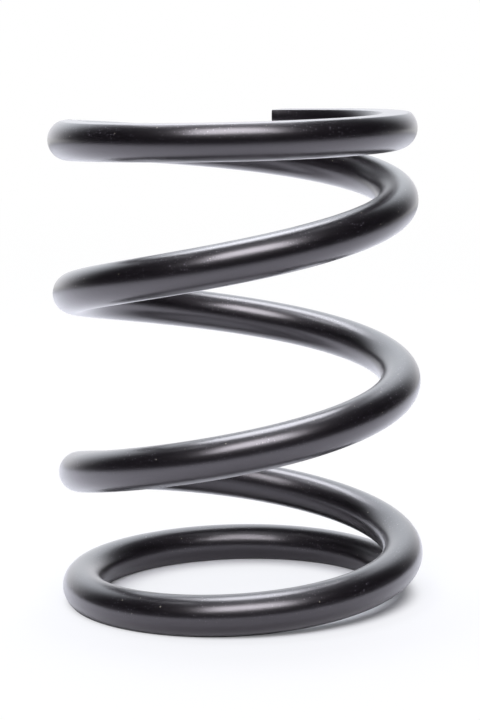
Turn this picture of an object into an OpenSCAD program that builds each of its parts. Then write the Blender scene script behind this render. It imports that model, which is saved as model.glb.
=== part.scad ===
// Compression spring of round wire, right-hand wound, with closed and ground ends.
// It stands upright on its lower ground face. The origin lies on the coil axis,
// in the plane of that face, and +Z runs up the axis.

/* [Coil] */
// Outer diameter of the coil
outer_d = 140; // [125:1:165]
// Diameter of the wire
wire_d = 15.5; // [12:0.5:16.5]
// Height between the two ground faces, unloaded
free_h = 185.5; // [180:0.5:240]
// Turns of wire, both closed ends counted
turns = 4.167; // [3.9:0.001:4.4]
// Direction of the lower wire tip seen from above, in degrees from +X
tip_angle = 14; // [0:1:359]

/* [Closed ends] */
// Depth ground off the wire along each seat
seat_grind = 1.8; // [0.5:0.1:2.5]
// Gap between each tip and the turn that it closes on
tip_gap = 0.3; // [0.2:0.1:1]
// Degrees of wire from a tip that lie flat, before the lead starts
dead_wire = 160; // [145:5:180]
// Degrees of wire from a tip at which the lead is full
full_lead = 435; // [410:5:445]
// Degrees of wire over which each tip is pressed towards its seat
tip_run = 100; // [100:5:140]

/* [Facets] */
// Sides of the wire's round section
wire_sides = 20; // [12:2:20]
// Sections along the wire, from tip to tip
sections = 285; // [160:5:310]

/* [Hidden] */

wire_r = wire_d / 2;
mean_r = outer_d / 2 - wire_r;
sweep = 360 * turns;

// Distance from each ground face to the wire's centre, clear of the tips
seat_centre = wire_r - seat_grind;

// Wire angle climbed at full lead: a smooth start between two angles, then one for one
function climb(turned) =
    let (eased = full_lead - dead_wire, x = min(max((turned - dead_wire) / eased, 0), 1))
    eased * (x ^ 3 - x ^ 4 / 2) + max(turned - full_lead, 0);

// The same along the whole wire, with the lead fading out again at the upper end
function climb_both(turned) = climb(turned) + climb(sweep) - climb(sweep - turned) - turned;

// Rise for each degree of wire at full lead
rise = (free_h - 2 * seat_centre) / climb_both(sweep);

// Height of the wire's centre before its tips are pressed towards their seats
function wound_height(turned) = seat_centre + rise * climb_both(turned);

// Half the wire's height in an upright section: a sloping wire is cut a little taller
function half_height(turned) =
    let (ahead = wound_height(turned + 1), behind = wound_height(turned - 1),
         slope = (ahead - behind) / (2 * mean_r * PI / 180))
    wire_r * sqrt(1 + slope ^ 2);

// How far a tip is pressed, so that it clears the turn it closes on by its gap
first_turn_rise = wound_height(360) - wound_height(0);
tip_press = max(0, wire_r + half_height(360) + tip_gap - first_turn_rise);

// Share of the press that is left at some angle from a tip
function press_share(from_tip) = max(0, 1 - from_tip / tip_run) ^ 2;

function centre_height(turned) =
    wound_height(turned) + tip_press * (press_share(sweep - turned) - press_share(turned));

// Corners of one upright section through the wire
function section(turned) =
    let (z = centre_height(turned), half_h = half_height(turned))
    [for (side = [0 : wire_sides - 1])
        let (around = 360 * side / wire_sides, out = mean_r + wire_r * cos(around))
        [out * cos(tip_angle + turned), out * sin(tip_angle + turned), z + half_h * sin(around)]];

// The wire as it is wound, with square cut tips
module wound_wire() {
    corners = [for (k = [0 : sections]) each section(sweep * k / sections)];
    skin = [for (k = [0 : sections - 1], side = [0 : wire_sides - 1])
        let (here = k * wire_sides, next = here + wire_sides, beside = (side + 1) % wire_sides)
        each [[here + side, here + beside, next + side],
              [here + beside, next + beside, next + side]]];
    lower_cut = [for (side = [0 : wire_sides - 1]) wire_sides - 1 - side];
    upper_cut = [for (side = [0 : wire_sides - 1]) sections * wire_sides + side];
    polyhedron(points = corners, faces = concat(skin, [lower_cut, upper_cut]), convexity = 12);
}

// The finished spring: the wound wire with both ends ground square to the axis
module coil_spring() {
    color("#1b1d20")
    intersection() {
        wound_wire();
        translate([-outer_d, -outer_d, 0]) cube([2 * outer_d, 2 * outer_d, free_h]);
    }
}

coil_spring();
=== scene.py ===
from math import cos, pi, radians, sin

import bpy
import numpy as np
from mathutils import Matrix, Vector


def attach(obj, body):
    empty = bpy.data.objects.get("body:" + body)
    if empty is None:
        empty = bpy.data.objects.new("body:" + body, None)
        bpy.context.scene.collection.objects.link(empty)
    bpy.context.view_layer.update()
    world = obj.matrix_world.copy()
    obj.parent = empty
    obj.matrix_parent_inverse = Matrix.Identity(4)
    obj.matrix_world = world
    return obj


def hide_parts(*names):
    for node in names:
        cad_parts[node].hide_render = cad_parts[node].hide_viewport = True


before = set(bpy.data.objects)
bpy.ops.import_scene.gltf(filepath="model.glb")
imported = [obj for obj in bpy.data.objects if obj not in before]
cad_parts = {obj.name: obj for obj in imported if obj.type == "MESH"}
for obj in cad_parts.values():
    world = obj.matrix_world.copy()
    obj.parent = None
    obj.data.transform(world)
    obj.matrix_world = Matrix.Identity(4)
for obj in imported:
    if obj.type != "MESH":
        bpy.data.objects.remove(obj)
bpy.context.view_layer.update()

# The spring
# One length of round spring steel wire, wound right-hand on a mandrel, stress relieved, then ground
# flat and square at both ends. It is phosphated and powder coated all over in satin black.
OUTER_D = 0.140          # outside the coil
WIRE_D = 0.0155
FREE_H = 0.1855
TURNS = 4.167
TIP_AZIMUTH = 14.0       # degrees, where the lower tip lies
SEAT_GRIND = 0.0018      # ground off the wire where it lies flat
TIP_GAP = 0.0003         # between a tip and the turn that it closes on
DEAD_WIRE = 160.0        # degrees of wire that lie flat at each end
FULL_LEAD = 435.0        # degrees from the tip to where the lead is full
TIP_RUN = 100.0          # degrees over which a tip is pressed towards its seat
EDGE_SOFT = 0.0003       # how far the coat rounds the edge of a ground face
TIP_EDGE = 0.0005        # rounding of a cut tip's edge, coat included
RINGS = 1150             # sections along the wire, 1.4 mm apart

WIRE_R = WIRE_D / 2
COIL_R = OUTER_D / 2 - WIRE_R
WOUND = 360.0 * TURNS    # degrees of wire in all


def climb(turned):
    """How far the lead has carried the wire, in degrees of full lead, at that many degrees from a tip.
    The lead is nothing where the wire lies flat, then grows as a smooth step to its full value."""
    share = np.clip((turned - DEAD_WIRE) / (FULL_LEAD - DEAD_WIRE), 0, 1)
    growing = (FULL_LEAD - DEAD_WIRE) * (share ** 3 - share ** 4 / 2)
    return growing + np.maximum(turned - FULL_LEAD, 0)


def climb_both(turned):
    """The climb with both ends closed alike: the lead that the far end holds back is taken off."""
    return climb(turned) + climb(WOUND) - climb(WOUND - turned) - turned


def wound_height(turned):
    """Height of the wire's centre as wound: the seat height plus its share of the climb, so that the
    two ground faces are the free height apart."""
    seat = WIRE_R - SEAT_GRIND
    return seat + (FREE_H - 2 * seat) * climb_both(turned) / climb_both(WOUND)


def half_height(turned):
    """Half the height of the wire's upright section: its radius times the slant of the slope."""
    slope = (wound_height(turned + 1) - wound_height(turned - 1)) / (2 * radians(1) * COIL_R)
    return WIRE_R * np.sqrt(1 + slope ** 2)


def centre_height(turned):
    """Height of the wire's centre once each tip is pressed towards its seat. The press fades out as the
    square of what is left of the tip run, and is just deep enough for the tip to clear the next turn."""
    room = wound_height(360.0) - wound_height(0.0)
    press = max(0.0, WIRE_R + half_height(360.0) + TIP_GAP - room)
    lower = np.maximum(0, 1 - turned / TIP_RUN) ** 2
    upper = np.maximum(0, 1 - (WOUND - turned) / TIP_RUN) ** 2
    return wound_height(turned) + press * (upper - lower)


def soft_floor(height, soft):
    """The larger of height and nothing, with the corner rounded off within soft of it: a parabola
    that leaves both lines tangentially."""
    near = np.maximum(soft - np.abs(height), 0) / soft
    return np.maximum(height, 0) + near ** 2 * soft / 4


LEAST_BEGINS, LEAST_PEAKS, LEAST_ENDS = radians(8), radians(14), radians(20)


def face_angles(centre, half):
    """Angles from straight down to where the grinding plane's soft edge begins, peaks and ends on a
    section whose centre is that far above the plane. Where the plane misses the wire they stay at
    their least values, so that the points never bunch up."""
    begins = np.arccos(np.clip((centre + EDGE_SOFT) / half, -1, 1))
    peaks = np.arccos(np.clip(centre / half, -1, 1))
    ends = np.arccos(np.clip((centre - EDGE_SOFT) / half, -1, 1))
    return np.maximum(begins, LEAST_BEGINS), np.maximum(peaks, LEAST_PEAKS), np.maximum(ends, LEAST_ENDS)


# Steps over the lower face, its soft edge in two parts, the flank, the upper edge and the upper face
SECTION_STEPS = (4, 2, 3, 22, 3, 2, 4)


def section_angles(centre, half):
    """Angles of the points round each section, from straight down on the outer side round to straight
    down again: evenly over the lower face, its edge, the flank, the upper edge and the upper face,
    and the same back on the inner side."""
    low = face_angles(centre, half)
    high = face_angles(FREE_H - centre, half)
    stops = [0 * low[0], low[0], low[1], low[2], pi - high[2], pi - high[1], pi - high[0], pi + 0 * low[0]]
    outer = []
    for a, b, n in zip(stops[:-1], stops[1:], SECTION_STEPS):
        outer.append(a[:, None] + (b - a)[:, None] * np.arange(n) / n)
    outer = np.hstack(outer)
    top = np.full((len(centre), 1), pi)
    inner = 2 * pi - outer[:, :0:-1]
    return np.hstack([outer, top, inner])


def wire_surface(turned, inset):
    """Points of the coil's surface on a grid of wire positions by section points. Each upright section
    is the ellipse of a sloping round wire, its height held between the two grinding planes with softly
    rounded edges, set at the coil radius and turned to the wire's azimuth. Inset draws a section in
    towards its own middle by that distance. Also gives each point's share of ground face, 0 to 1."""
    centre, half = centre_height(turned), half_height(turned)
    angle = section_angles(centre, half)
    out = COIL_R + WIRE_R * np.sin(angle)
    height = centre[:, None] - half[:, None] * np.cos(angle)
    up = soft_floor(height, EDGE_SOFT)
    up = FREE_H - soft_floor(FREE_H - up, EDGE_SOFT)
    mid_out, mid_up = out.mean(1, keepdims=True), up.mean(1, keepdims=True)
    reach = np.hypot(out - mid_out, up - mid_up)
    keep = 1 - inset[:, None] / reach
    out, up = mid_out + (out - mid_out) * keep, mid_up + (up - mid_up) * keep
    azimuth = np.radians(TIP_AZIMUTH + turned)[:, None]
    ground = np.clip(-height / EDGE_SOFT, 0, 1) + np.clip((height - FREE_H) / EDGE_SOFT, 0, 1)
    return np.stack([out * np.cos(azimuth), out * np.sin(azimuth), up], -1), ground


TIP_FACE_INSETS = (0.0036, 0.0018, 0.0008)     # how far in the rings of a cut end face lie
TIP_EDGE_RINGS = 6


def tip_rings():
    """Wire positions and insets of a cut tip's rings: the flat end face in three steps outwards, then a
    quarter circle over its edge, as (degrees from the tip, inset)."""
    quarter = np.linspace(pi / 2, 0, TIP_EDGE_RINGS)
    rim_back = TIP_EDGE * (1 - np.sin(quarter))
    rim_in = TIP_EDGE * (1 - np.cos(quarter))
    face_in = np.array(TIP_FACE_INSETS)
    return np.degrees(np.hstack([0 * face_in, rim_back]) / COIL_R), np.hstack([face_in, rim_in])


tip_turned, tip_inset = tip_rings()
between = np.linspace(tip_turned[-1], WOUND - tip_turned[-1], RINGS)[1:-1]
ring_turned = np.hstack([tip_turned, between, (WOUND - tip_turned)[::-1]])
ring_inset = np.hstack([tip_inset, 0 * between, tip_inset[::-1]])
points, ground = wire_surface(ring_turned, ring_inset)
rings, round_points = points.shape[:2]
poles = points[[0, -1]].mean(1)
corners = np.vstack([points.reshape(-1, 3), poles])

ring, step = np.meshgrid(np.arange(rings - 1), np.arange(round_points), indexing="ij")
following = (step + 1) % round_points
quads = np.stack([ring * round_points + step, (ring + 1) * round_points + step,
                  (ring + 1) * round_points + following, ring * round_points + following], -1).reshape(-1, 4)
here = np.arange(round_points)
ahead = (here + 1) % round_points
last = (rings - 1) * round_points
low_fan = np.stack([here, ahead, np.full(round_points, rings * round_points)], -1)
high_fan = np.stack([last + ahead, last + here, np.full(round_points, rings * round_points + 1)], -1)

wire_mesh = bpy.data.meshes.new("coated_wire")
wire_mesh.from_pydata(corners.tolist(), [], quads.tolist() + low_fan.tolist() + high_fan.tolist())
wire_mesh.shade_smooth()

# How far each point lies on a ground face, for the coat's patterns
ground_share = wire_mesh.attributes.new("ground_face", "FLOAT", "POINT")
ground_share.data.foreach_set("value", np.hstack([ground.ravel(), 0, 0]).astype(np.float32))

coated_wire = bpy.data.objects.new("coated_wire", wire_mesh)
bpy.context.scene.collection.objects.link(coated_wire)


def linear(hex_colour):
    """An sRGB hex colour as linear red, green, blue and alpha."""
    srgb = np.array([int(hex_colour[i:i + 2], 16) for i in (1, 3, 5)]) / 255
    rgb = np.where(srgb <= 0.04045, srgb / 12.92, ((srgb + 0.055) / 1.055) ** 2.4)
    return (*rgb.tolist(), 1.0)


def add_node(tree, kind, settings=None, inputs=None):
    """Adds one node. Settings are its own properties. Each input is a value, or the socket it is fed by."""
    node = tree.nodes.new(kind)
    for name, value in (settings or {}).items():
        setattr(node, name, value)
    for name, value in (inputs or {}).items():
        if isinstance(value, bpy.types.NodeSocket):
            tree.links.new(value, node.inputs[name])
        else:
            node.inputs[name].default_value = value
    return node


# Satin black polyester powder coat, sprayed dry and baked. It gives a deep black, a touch violet, with a
# soft-edged sheen. The powder flowed out to a faint orange peel with a fine grain, and fine pepper and a
# few pale specks of dust are baked in. The grinding marks show faintly through it on the flat faces.
powder_coat = bpy.data.materials.new("satin_black_powder_coat")
powder_coat.use_nodes = True
coat = powder_coat.node_tree
coat.nodes.clear()
place = add_node(coat, "ShaderNodeTexCoord")
MM = 0.001
PEEL_SIZE, PEEL_DEEP = 1.7 * MM, 0.012 * MM
GRAIN_SIZE, GRAIN_DEEP = 0.62 * MM, 0.005 * MM     # coarser than the real grain, so as to show
DRIFT_SIZE = 28 * MM                               # the slow change in gloss along the wire
drift = add_node(coat, "ShaderNodeTexNoise", inputs={
    "Vector": place.outputs["Object"], "Scale": 1 / DRIFT_SIZE, "Detail": 2.0, "Roughness": 0.5})
peel = add_node(coat, "ShaderNodeTexNoise", inputs={
    "Vector": place.outputs["Object"], "Scale": 1 / PEEL_SIZE, "Detail": 1.5, "Roughness": 0.45})
grain = add_node(coat, "ShaderNodeTexNoise", inputs={
    "Vector": place.outputs["Object"], "Scale": 1 / GRAIN_SIZE, "Detail": 2.0, "Roughness": 0.6})
peel_bump = add_node(coat, "ShaderNodeBump", inputs={
    "Height": peel.outputs["Fac"], "Strength": 1.0, "Distance": PEEL_DEEP})
grain_bump = add_node(coat, "ShaderNodeBump", inputs={
    "Height": grain.outputs["Fac"], "Strength": 1.0, "Distance": GRAIN_DEEP,
    "Normal": peel_bump.outputs["Normal"]})

# The grinding wheel's lines, on the ground faces only. The real ones are finer: these are as coarse as
# they need to be to show.
LINE_APART, LINE_LONG, LINE_DEEP, LINE_TURN = 0.5 * MM, 20 * MM, 0.008 * MM, radians(25)
lines_lie = add_node(coat, "ShaderNodeMapping", inputs={
    "Vector": place.outputs["Object"], "Rotation": (0.0, 0.0, LINE_TURN),
    "Scale": (1 / LINE_APART, 1 / LINE_LONG, 0.0)})
lines = add_node(coat, "ShaderNodeTexNoise", inputs={
    "Vector": lines_lie.outputs["Vector"], "Scale": 1.0, "Detail": 2.0})
on_face = add_node(coat, "ShaderNodeAttribute", {"attribute_name": "ground_face"})
line_height = add_node(coat, "ShaderNodeMath", {"operation": "MULTIPLY"},
                       {0: lines.outputs["Fac"], 1: on_face.outputs["Fac"]})
line_bump = add_node(coat, "ShaderNodeBump", inputs={
    "Height": line_height.outputs["Value"], "Strength": 1.0, "Distance": LINE_DEEP,
    "Normal": grain_bump.outputs["Normal"]})

# Specks: each cell of a Voronoi pattern has one in its middle, with its own strength. Both kinds settled
# on the upper side of the wire before the coat was baked: fine pepper in patches, pale dust all along.
# They are drawn as coarse as they need to be to show.


def specks(spacing, radius, scarce):
    """Adds a speck pattern: spacing and radius in metres, and the share of cells without a speck. The
    value falls off from a speck's middle to its rim."""
    cells = add_node(coat, "ShaderNodeTexVoronoi", inputs={
        "Vector": place.outputs["Object"], "Scale": 1 / spacing})
    disc = add_node(coat, "ShaderNodeMapRange", inputs={
        "Value": cells.outputs["Distance"], "From Min": 0.0, "From Max": radius / spacing,
        "To Min": 1.0, "To Max": 0.0})
    lot = add_node(coat, "ShaderNodeSeparateColor", inputs={"Color": cells.outputs["Color"]})
    strength = add_node(coat, "ShaderNodeMapRange", inputs={
        "Value": lot.outputs["Red"], "From Min": scarce, "From Max": 1.0})
    return add_node(coat, "ShaderNodeMath", {"operation": "MULTIPLY"},
                    {0: disc.outputs["Result"], 1: strength.outputs["Result"]})


pepper = specks(spacing=1.05 * MM, radius=0.41 * MM, scarce=0.25)
dust = specks(spacing=3.6 * MM, radius=0.36 * MM, scarce=0.45)
PATCH_SIZE, PATCH_STARTS, PATCH_WHOLE = 16 * MM, 0.4, 0.58
patches = add_node(coat, "ShaderNodeTexNoise", inputs={
    "Vector": place.outputs["Object"], "Scale": 1 / PATCH_SIZE, "Detail": 1.0})
patch = add_node(coat, "ShaderNodeMapRange", inputs={
    "Value": patches.outputs["Fac"], "From Min": PATCH_STARTS, "From Max": PATCH_WHOLE})
UPPER_STARTS, UPPER_WHOLE = -0.2, 0.4     # how far the surface faces up, from -1 to 1
shape = add_node(coat, "ShaderNodeNewGeometry")
normal = add_node(coat, "ShaderNodeSeparateXYZ", inputs={"Vector": shape.outputs["Normal"]})
upper_side = add_node(coat, "ShaderNodeMapRange", inputs={
    "Value": normal.outputs["Z"], "From Min": UPPER_STARTS, "From Max": UPPER_WHOLE})
patch_above = add_node(coat, "ShaderNodeMath", {"operation": "MULTIPLY"},
                       {0: patch.outputs["Result"], 1: upper_side.outputs["Result"]})
pepper_share = add_node(coat, "ShaderNodeMath", {"operation": "MULTIPLY"},
                        {0: pepper.outputs["Value"], 1: patch_above.outputs["Value"]})
dust_share = add_node(coat, "ShaderNodeMath", {"operation": "MULTIPLY"},
                      {0: dust.outputs["Value"], 1: upper_side.outputs["Result"]})
MOTTLE_STARTS, MOTTLE_WHOLE = 0.35, 0.75
mottle = add_node(coat, "ShaderNodeMapRange", inputs={
    "Value": grain.outputs["Fac"], "From Min": MOTTLE_STARTS, "From Max": MOTTLE_WHOLE})

# Where the coat runs over the edge of a ground face it lies thinner and looks a little greyer. The edge
# is where a point's share of ground face is neither nothing nor whole.
EDGE_STRENGTH = 2.0
off_face = add_node(coat, "ShaderNodeMath", {"operation": "SUBTRACT"}, {0: 1.0, 1: on_face.outputs["Fac"]})
edge = add_node(coat, "ShaderNodeMath", {"operation": "MULTIPLY"},
                {0: off_face.outputs["Value"], 1: on_face.outputs["Fac"]})
edge_share = add_node(coat, "ShaderNodeMath", {"operation": "MULTIPLY"},
                      {0: edge.outputs["Value"], 1: EDGE_STRENGTH})

# The colours, each mixed over the one before. A mix node's colour sockets share their names with others,
# so they go by number: 6 and 7 in, 2 out.
black = add_node(coat, "ShaderNodeMix", {"data_type": "RGBA"},
                 {"Factor": mottle.outputs["Result"], 6: linear("#080508"), 7: linear("#120d13")})
edged = add_node(coat, "ShaderNodeMix", {"data_type": "RGBA"},
                 {"Factor": edge_share.outputs["Value"], 6: black.outputs[2], 7: linear("#38343a")})
peppered = add_node(coat, "ShaderNodeMix", {"data_type": "RGBA"},
                    {"Factor": pepper_share.outputs["Value"], 6: edged.outputs[2], 7: linear("#78737c")})
dusty = add_node(coat, "ShaderNodeMix", {"data_type": "RGBA"},
                 {"Factor": dust_share.outputs["Value"], 6: peppered.outputs[2], 7: linear("#d8d0c0")})

# A clear top layer lies over the black, and a trace of sheen stands for its finest texture. The IOR
# starts from that of a hard baked resin, about 1.55, and is matched to the streaks of light. The tint
# takes a little green out of the gloss of the black, which leaves it a touch violet.
RESIN_IOR = 1.59
DRIFT_LOW, DRIFT_HIGH = 0.3, 0.7
GLOSSIEST, DULLEST = 0.29, 0.33
roughness = add_node(coat, "ShaderNodeMapRange", inputs={
    "Value": drift.outputs["Fac"], "From Min": DRIFT_LOW, "From Max": DRIFT_HIGH,
    "To Min": GLOSSIEST, "To Max": DULLEST})
skin = add_node(coat, "ShaderNodeBsdfPrincipled", inputs={
    "Base Color": dusty.outputs[2], "Roughness": roughness.outputs["Result"], "IOR": RESIN_IOR,
    "Specular Tint": (1.0, 0.9, 1.0, 1.0), "Normal": line_bump.outputs["Normal"],
    "Coat Weight": 1.0, "Coat Roughness": 0.285, "Coat IOR": RESIN_IOR,
    "Coat Normal": line_bump.outputs["Normal"], "Sheen Weight": 0.035, "Sheen Roughness": 0.3})
add_node(coat, "ShaderNodeOutputMaterial", inputs={"Surface": skin.outputs["BSDF"]})
wire_mesh.materials.append(powder_coat)

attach(coated_wire, "root")
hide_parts("coil_spring")

# The floor
# A sheet of white paper on a table, lying flat under the spring and running back to the wall. It is lit a
# little over white and keeps the spring's shadow; past its front and side edges the room is dark.
FLOOR_HALF = 12.0
FLOOR_DROP = 0.00002     # keeps the paper clear of the ground face that stands on it
floor_corners = ((-1, -1), (1, -1), (1, 1), (-1, 1))
floor_mesh = bpy.data.meshes.new("floor")
floor_mesh.from_pydata([(x * FLOOR_HALF, y * FLOOR_HALF, -FLOOR_DROP) for x, y in floor_corners],
                       [], [(0, 1, 2, 3)])
floor = bpy.data.objects.new("floor", floor_mesh)
bpy.context.scene.collection.objects.link(floor)
paper = bpy.data.materials.new("matt_white_paper")
paper.use_nodes = True
sheet = paper.node_tree
sheet.nodes.clear()
where = add_node(sheet, "ShaderNodeTexCoord")

# Distance from a point behind the spring, counted sideways only further back: the paper's rounded outline
BACK_POINT, EDGE_STARTS, EDGE_ENDS = 1.0, 1.2, 1.75
from_back = add_node(sheet, "ShaderNodeVectorMath", {"operation": "SUBTRACT"},
                     {0: where.outputs["Object"], 1: (0.0, BACK_POINT, 0.0)})
forward = add_node(sheet, "ShaderNodeVectorMath", {"operation": "MINIMUM"},
                   {0: from_back.outputs["Vector"], 1: (FLOOR_HALF, 0.0, 0.0)})
reach = add_node(sheet, "ShaderNodeVectorMath", {"operation": "LENGTH"}, {0: forward.outputs["Vector"]})
beyond = add_node(sheet, "ShaderNodeMapRange", {"interpolation_type": "SMOOTHSTEP"},
                  {"Value": reach.outputs["Value"], "From Min": EDGE_STARTS, "From Max": EDGE_ENDS})

# The shadow on the lit paper is real, but where it shows is painted: a mask keeps the share of plain white
# lowest along the coil's footprint, and away from it the camera sees ever plainer white over the shadow.
# Distances from the footprint count faster outside the coil. Each share is how much of what the camera
# sees there is plain white, the rest being the lit paper.
FOOT_R, OUTSIDE_PACE = 0.0600, 1.8
DEEP_TO, FAINT_FROM = 0.001, 0.019
DEEP_SHARE, FAINT_SHARE = 0.07, 0.8
FAINT_TO, PLAIN_FROM, PLAIN_SHARE = 0.085, 0.16, 0.97
from_spring = add_node(sheet, "ShaderNodeVectorMath", {"operation": "LENGTH"}, {0: where.outputs["Object"]})
outwards = add_node(sheet, "ShaderNodeMath", {"operation": "SUBTRACT"},
                    {0: from_spring.outputs["Value"], 1: FOOT_R})
outside = add_node(sheet, "ShaderNodeMath", {"operation": "MULTIPLY"},
                   {0: outwards.outputs["Value"], 1: OUTSIDE_PACE})
inwards = add_node(sheet, "ShaderNodeMath", {"operation": "SUBTRACT"},
                   {0: FOOT_R, 1: from_spring.outputs["Value"]})
from_foot = add_node(sheet, "ShaderNodeMath", {"operation": "MAXIMUM"},
                     {0: outside.outputs["Value"], 1: inwards.outputs["Value"]})
near_foot = add_node(sheet, "ShaderNodeMapRange", {"interpolation_type": "SMOOTHSTEP"},
                     {"Value": from_foot.outputs["Value"], "From Min": DEEP_TO, "From Max": FAINT_FROM,
                      "To Min": DEEP_SHARE, "To Max": FAINT_SHARE})
plain = add_node(sheet, "ShaderNodeMapRange", {"interpolation_type": "SMOOTHSTEP"},
                 {"Value": from_spring.outputs["Value"], "From Min": FAINT_TO, "From Max": PLAIN_FROM,
                  "To Min": near_foot.outputs["Result"], "To Max": PLAIN_SHARE})
seen_by = add_node(sheet, "ShaderNodeLightPath")
white_share = add_node(sheet, "ShaderNodeMath", {"operation": "MULTIPLY"},
                       {0: plain.outputs["Result"], 1: seen_by.outputs["Is Camera Ray"]})
lit_paper = add_node(sheet, "ShaderNodeBsdfDiffuse", inputs={"Color": linear("#e7e6eb")})

# The white is a touch cool beside the foot, a painted cool tint for the shade there, and plain further out
COOL_TO, NEUTRAL_FROM = 0.07, 0.15
paleness = add_node(sheet, "ShaderNodeMapRange", inputs={
    "Value": from_spring.outputs["Value"], "From Min": COOL_TO, "From Max": NEUTRAL_FROM})
cool_white = add_node(sheet, "ShaderNodeMix", {"data_type": "RGBA"},
                      {"Factor": paleness.outputs["Result"], 6: linear("#fbfcff"), 7: linear("#ffffff")})
white = add_node(sheet, "ShaderNodeEmission", inputs={"Color": cool_white.outputs[2], "Strength": 1.0})
near_sheet = add_node(sheet, "ShaderNodeMixShader", inputs={
    0: white_share.outputs["Value"], 1: lit_paper.outputs["BSDF"], 2: white.outputs["Emission"]})

# Far back the paper is as white as the wall that it meets, also as the coat shows it
BACK_STARTS, BACK_WHOLE = -0.35, 1.1     # metres behind the back point
split = add_node(sheet, "ShaderNodeSeparateXYZ", inputs={"Vector": from_back.outputs["Vector"]})
far_back = add_node(sheet, "ShaderNodeMapRange", {"interpolation_type": "SMOOTHSTEP"},
                    {"Value": split.outputs["Y"], "From Min": BACK_STARTS, "From Max": BACK_WHOLE})
seen_back = add_node(sheet, "ShaderNodeMath", {"operation": "MULTIPLY"},
                     {0: far_back.outputs["Result"], 1: seen_by.outputs["Is Glossy Ray"]})
seen_white = add_node(sheet, "ShaderNodeMath", {"operation": "MAXIMUM"},
                      {0: seen_back.outputs["Value"], 1: seen_by.outputs["Is Camera Ray"]})
far_sheet = add_node(sheet, "ShaderNodeEmission", inputs={"Strength": seen_white.outputs["Value"]})
far_share = add_node(sheet, "ShaderNodeMath", {"operation": "MAXIMUM"},
                     {0: beyond.outputs["Result"], 1: far_back.outputs["Result"]})
whole_sheet = add_node(sheet, "ShaderNodeMixShader", inputs={
    0: far_share.outputs["Value"], 1: near_sheet.outputs["Shader"], 2: far_sheet.outputs["Emission"]})
add_node(sheet, "ShaderNodeOutputMaterial", inputs={"Surface": whole_sheet.outputs["Shader"]})
floor_mesh.materials.append(paper)

# The studio
# A white wall behind the spring and a dim room on the other sides, under a paler ceiling, as the coat
# shows them. The camera sees plain white in every direction.
studio = bpy.data.worlds.new("studio")
bpy.context.scene.world = studio
studio.use_nodes = True
room = studio.node_tree
room.nodes.clear()
facing = add_node(room, "ShaderNodeTexCoord")
compass = add_node(room, "ShaderNodeSeparateXYZ", inputs={"Vector": facing.outputs["Generated"]})
WALL_TURN = radians(5.0)     # the wall stands a little to the left
WALL_FOOT, WALL_TOP, ROOM_LEVEL, CEILING_LEVEL = 1.25, 1.64, 0.012, 0.5

# Where each begins and is whole: heights as sines of the elevation, and the wall's sides as cosines of
# the angle from its middle
RISE_STARTS, RISE_ENDS = 0.1, 0.72
CEILING_STARTS, CEILING_WHOLE = 0.88, 0.96
TINT_STARTS, TINT_ENDS = 0.1, 0.45
SIDE_STARTS, SIDE_WHOLE = 0.48, 0.98
level_way = add_node(room, "ShaderNodeVectorMath", {"operation": "MULTIPLY"},
                     {0: facing.outputs["Generated"], 1: (1.0, 1.0, 0.0)})
way = add_node(room, "ShaderNodeVectorMath", {"operation": "NORMALIZE"}, {0: level_way.outputs["Vector"]})
way_back = add_node(room, "ShaderNodeVectorMath", {"operation": "DOT_PRODUCT"},
                    {0: way.outputs["Vector"], 1: (-sin(WALL_TURN), cos(WALL_TURN), 0.0)})
wall = add_node(room, "ShaderNodeMapRange", {"interpolation_type": "SMOOTHSTEP"},
                {"Value": compass.outputs["Z"], "From Min": RISE_STARTS, "From Max": RISE_ENDS,
                 "To Min": WALL_FOOT, "To Max": WALL_TOP})
behind = add_node(room, "ShaderNodeMapRange", {"interpolation_type": "SMOOTHSTEP"},
                  {"Value": way_back.outputs["Value"], "From Min": SIDE_STARTS, "From Max": SIDE_WHOLE})
wall_seen = add_node(room, "ShaderNodeMath", {"operation": "MULTIPLY"},
                     {0: wall.outputs["Result"], 1: behind.outputs["Result"]})
above = add_node(room, "ShaderNodeMapRange", {"interpolation_type": "SMOOTHSTEP"},
                 {"Value": compass.outputs["Z"], "From Min": CEILING_STARTS, "From Max": CEILING_WHOLE,
                  "To Min": ROOM_LEVEL, "To Max": CEILING_LEVEL})
dim = add_node(room, "ShaderNodeMath", {"operation": "ADD"},
               {0: wall_seen.outputs["Value"], 1: above.outputs["Result"]})
seen = add_node(room, "ShaderNodeLightPath")
level = add_node(room, "ShaderNodeMix", {"data_type": "FLOAT"},
                 {"Factor": seen.outputs["Is Camera Ray"], "A": dim.outputs["Value"], "B": 1.0})

# The wall is tinted a touch violet at its foot and a touch blue higher up
higher = add_node(room, "ShaderNodeMapRange", inputs={
    "Value": compass.outputs["Z"], "From Min": TINT_STARTS, "From Max": TINT_ENDS})
wall_tint = add_node(room, "ShaderNodeMix", {"data_type": "RGBA"},
                     {"Factor": higher.outputs["Result"], 6: linear("#f8f8fd"), 7: linear("#f1f7fe")})
air = add_node(room, "ShaderNodeMix", {"data_type": "RGBA"},
               {"Factor": seen.outputs["Is Camera Ray"], 6: wall_tint.outputs[2], 7: linear("#ffffff")})
sky = add_node(room, "ShaderNodeBackground", inputs={
    "Color": air.outputs[2], "Strength": level.outputs["Result"]})
add_node(room, "ShaderNodeOutputWorld", inputs={"Surface": sky.outputs["Background"]})

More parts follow.
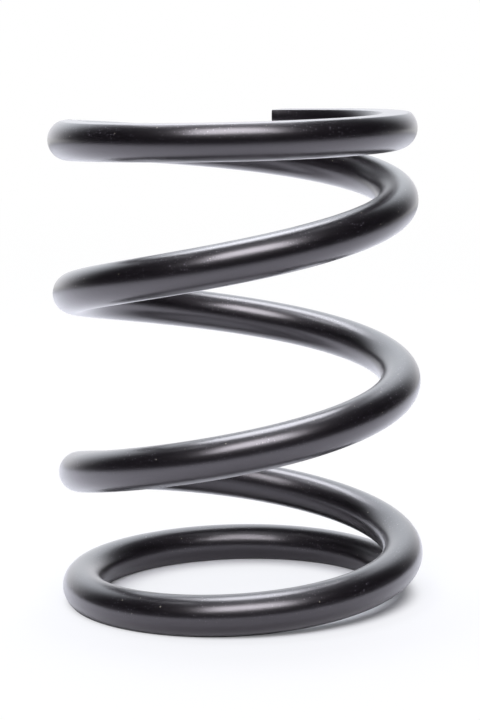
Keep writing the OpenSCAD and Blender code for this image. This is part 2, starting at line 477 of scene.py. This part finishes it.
# The lamps
# Two soft boxes: a large upright one in front and above, rolled a little, whose streak runs along each
# turn, and one overhead, a little behind, that rims the top of the wire.


def soft_box(name, place, aim, roll, wide, high, level, tint):
    """A rectangular lamp at place, facing aim and rolled about that line. Level is its brightness where
    1 is white, from which the power follows as level times pi times the area. Tint is a hex colour."""
    lamp = bpy.data.lights.new(name, "AREA")
    lamp.shape, lamp.size, lamp.size_y = "RECTANGLE", wide, high
    lamp.energy = level * pi * wide * high
    lamp.color = linear(tint)[:3]
    box = bpy.data.objects.new(name, lamp)
    box.location = place
    facing_aim = (Vector(aim) - Vector(place)).to_track_quat("-Z", "Y").to_matrix()
    box.rotation_euler = (facing_aim @ Matrix.Rotation(roll, 3, "Z")).to_euler()
    box.visible_camera = False
    bpy.context.scene.collection.objects.link(box)


soft_box("front_soft_box", place=(0.02, -1.36, 1.93), aim=(0.02, 0.0, 1.93), roll=radians(6.0),
         wide=1.59, high=1.64, level=8.0, tint="#faf9fe")
soft_box("overhead_soft_box", place=(-0.08, 0.375, 1.14), aim=(-0.08, 0.375, 0.0), roll=0.0,
         wide=0.90, high=0.80, level=5.7, tint="#f5f8fe")

# The camera
# It stands about 0.85 m from the spring with a long lens, and looks down a little. Its place and turn
# were fitted together with the coil's proportions.
CAMERA_AT = (0.01405, -0.85586, 0.21829)
YAW, PITCH, ROLL = -0.015407, -0.146466, -0.023392
LENS = 112.514
view = bpy.data.cameras.new("camera")
view.lens, view.sensor_width, view.sensor_fit = LENS, 36.0, "AUTO"
view.clip_start, view.clip_end = 0.05, 60.0
camera = bpy.data.objects.new("camera", view)
camera.location = CAMERA_AT
level_turn = Matrix.Rotation(-YAW, 3, "Z") @ Matrix.Rotation(pi / 2 + PITCH, 3, "X")
camera.rotation_euler = (level_turn @ Matrix.Rotation(ROLL, 3, "Z")).to_euler()
bpy.context.scene.collection.objects.link(camera)
bpy.context.scene.camera = camera
bpy.context.scene.view_settings.view_transform = "Standard"

bpy.context.view_layer.update()
